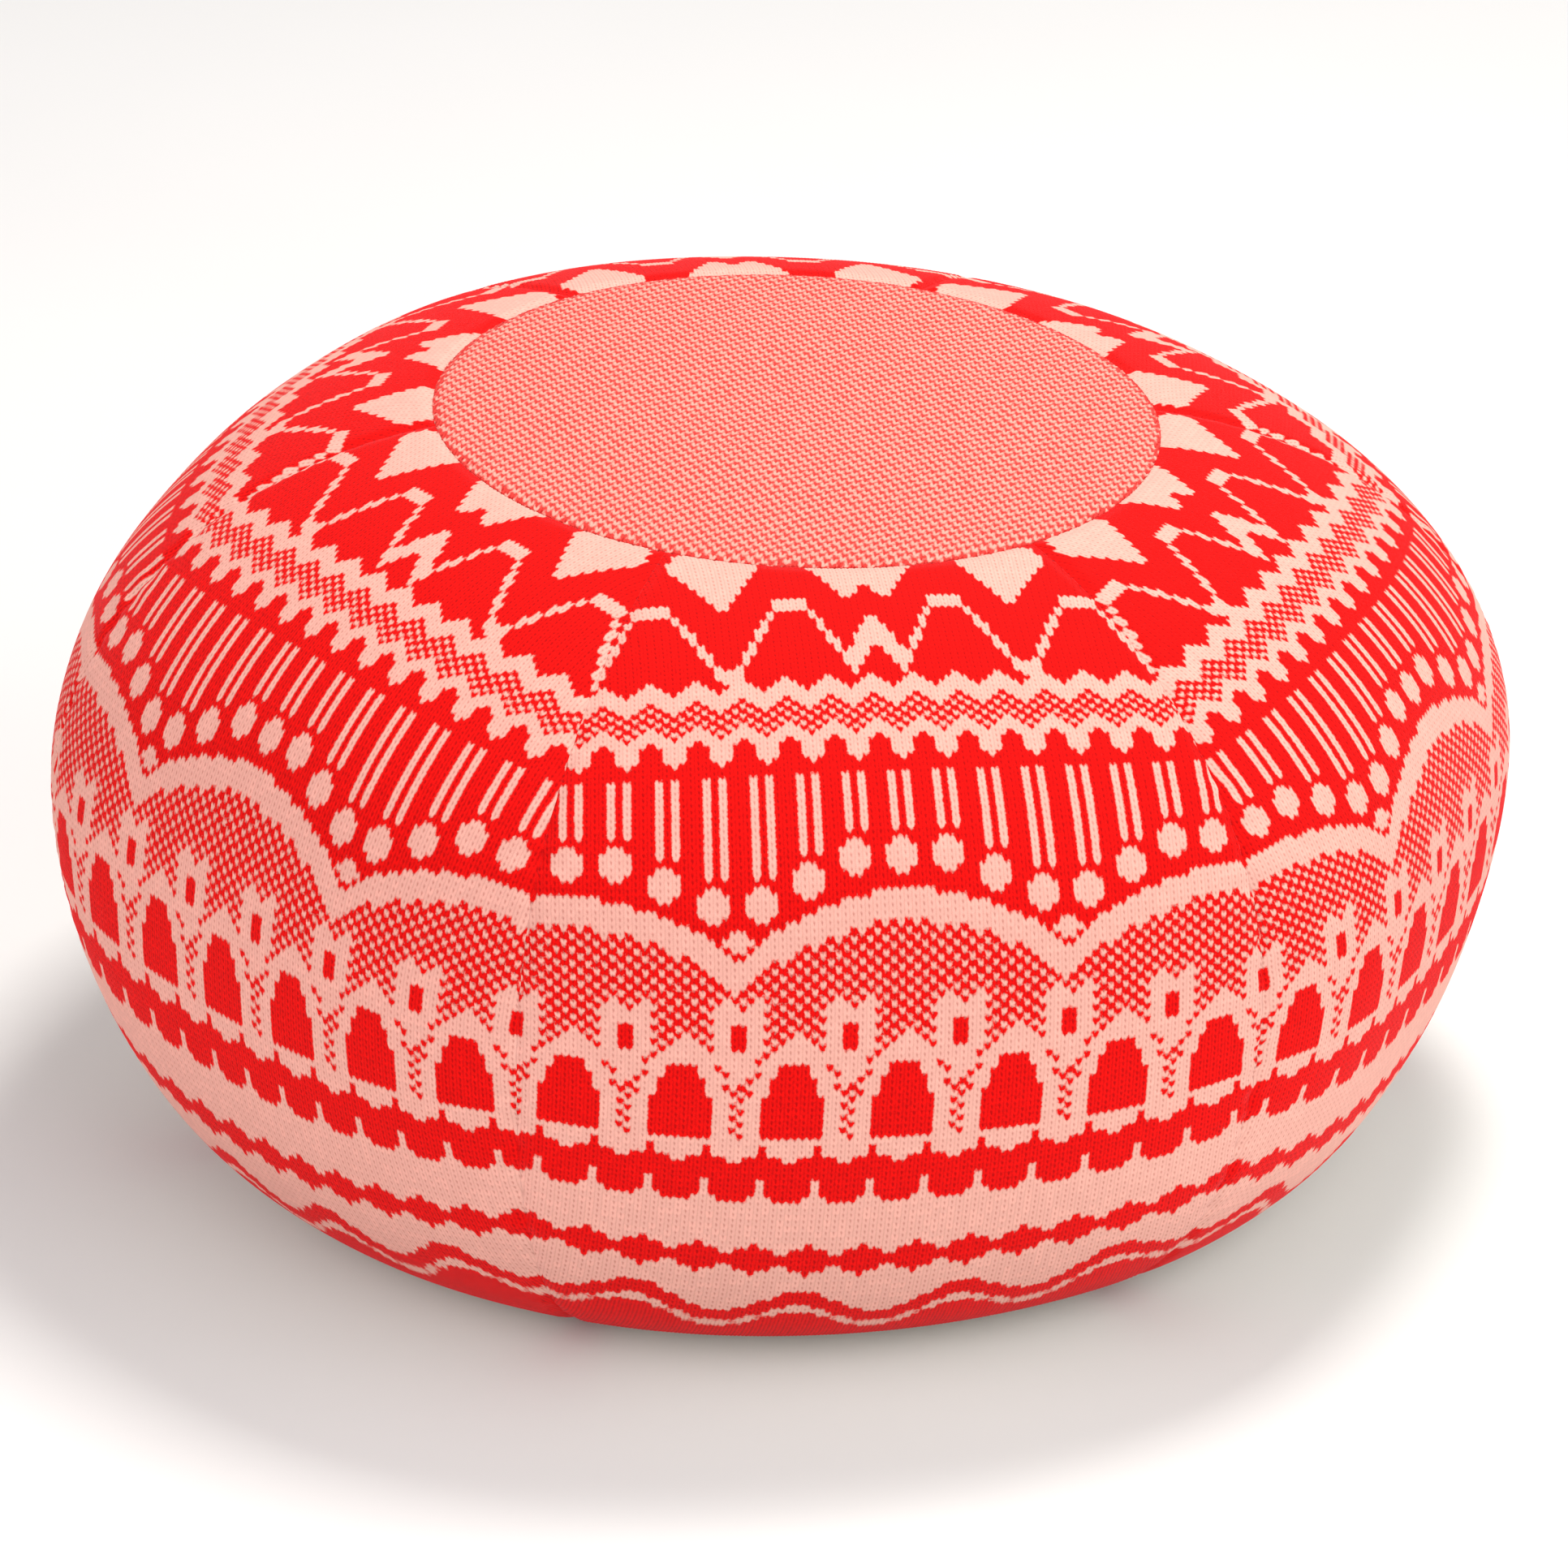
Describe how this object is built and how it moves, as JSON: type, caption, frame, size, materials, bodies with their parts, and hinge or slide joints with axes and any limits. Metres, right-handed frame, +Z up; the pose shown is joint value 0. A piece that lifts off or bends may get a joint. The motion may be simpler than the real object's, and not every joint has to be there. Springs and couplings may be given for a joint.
{
  "type": "floor cushion",
  "caption": "Round knitted floor cushion with flattened dome sides, a flat round top panel, gore panels, and a zip round the back of its base.",
  "frame": {"origin": "middle of the underside, on the floor plane", "axes": "+Z up through the middle of the round body; -Y is the front, on the centreline of one gore; the zip is round the back of the underside, on +Y"},
  "size_m": [0.636, 0.636, 0.345],
  "materials": {
    "jacquard_knit": "felted lambswool double-bed jacquard knit in saturated red and pale peach pink, soft fuzzy matt surface",
    "birdseye_knit": "same two yarns knitted as a one by one check, reads as salmon pink, matt and slightly fuzzy",
    "seam_yarn": "red overlock yarn and pressed seam allowance",
    "zip_tape": "woven polyester tape dyed red, fine herringbone",
    "zip_coil": "dyed nylon coil, satin",
    "zip_metal": "red lacquered zinc casting with worn edges",
    "label_tape": "blank woven satin tape",
    "lining_cotton": "plain unbleached cotton",
    "fibre_fill": "loose white fibre and bead filling"
  },
  "bodies": {
    "cushion": {"gore_panel_1": "jacquard_knit", "gore_panel_2": "jacquard_knit", "gore_panel_3": "jacquard_knit", "gore_panel_4": "jacquard_knit", "gore_panel_5": "jacquard_knit", "gore_panel_6": "jacquard_knit", "top_panel": "birdseye_knit", "base_panel": "birdseye_knit", "gore_seam_1": "seam_yarn", "gore_seam_2": "seam_yarn", "gore_seam_3": "seam_yarn", "gore_seam_4": "seam_yarn", "gore_seam_5": "seam_yarn", "gore_seam_6": "seam_yarn", "top_ring_seam": "seam_yarn", "base_ring_seam": "seam_yarn", "zip_tape_inner": "zip_tape", "zip_tape_outer": "zip_tape", "zip_chain_inner": "zip_coil", "zip_chain_outer": "zip_coil", "zip_top_stops": "zip_metal", "zip_bottom_stop": "zip_metal", "care_label": "label_tape", "lining_top": "lining_cotton", "lining_side": "lining_cotton", "lining_bottom": "lining_cotton", "lining_closing_stitch": "seam_yarn", "filling": "fibre_fill"},
    "zip_slider": {"zip_slider_body": "zip_metal"},
    "zip_pull": {"zip_pull_tab": "zip_metal"}
  },
  "joints": [
    {"name": "zip_slide", "type": "hinge", "parent": "cushion", "child": "zip_slider", "pos_m": [0, 0, 0], "axis": [0, 0, 1], "range_deg": [-143.5, 0]},
    {"name": "pull_tab_swing", "type": "hinge", "parent": "zip_slider", "child": "zip_pull", "pos_m": [-0.15978, 0.05192, 0.002], "axis": [-0.9511, 0.309, 0], "range_deg": [0, 175]}
  ]
}
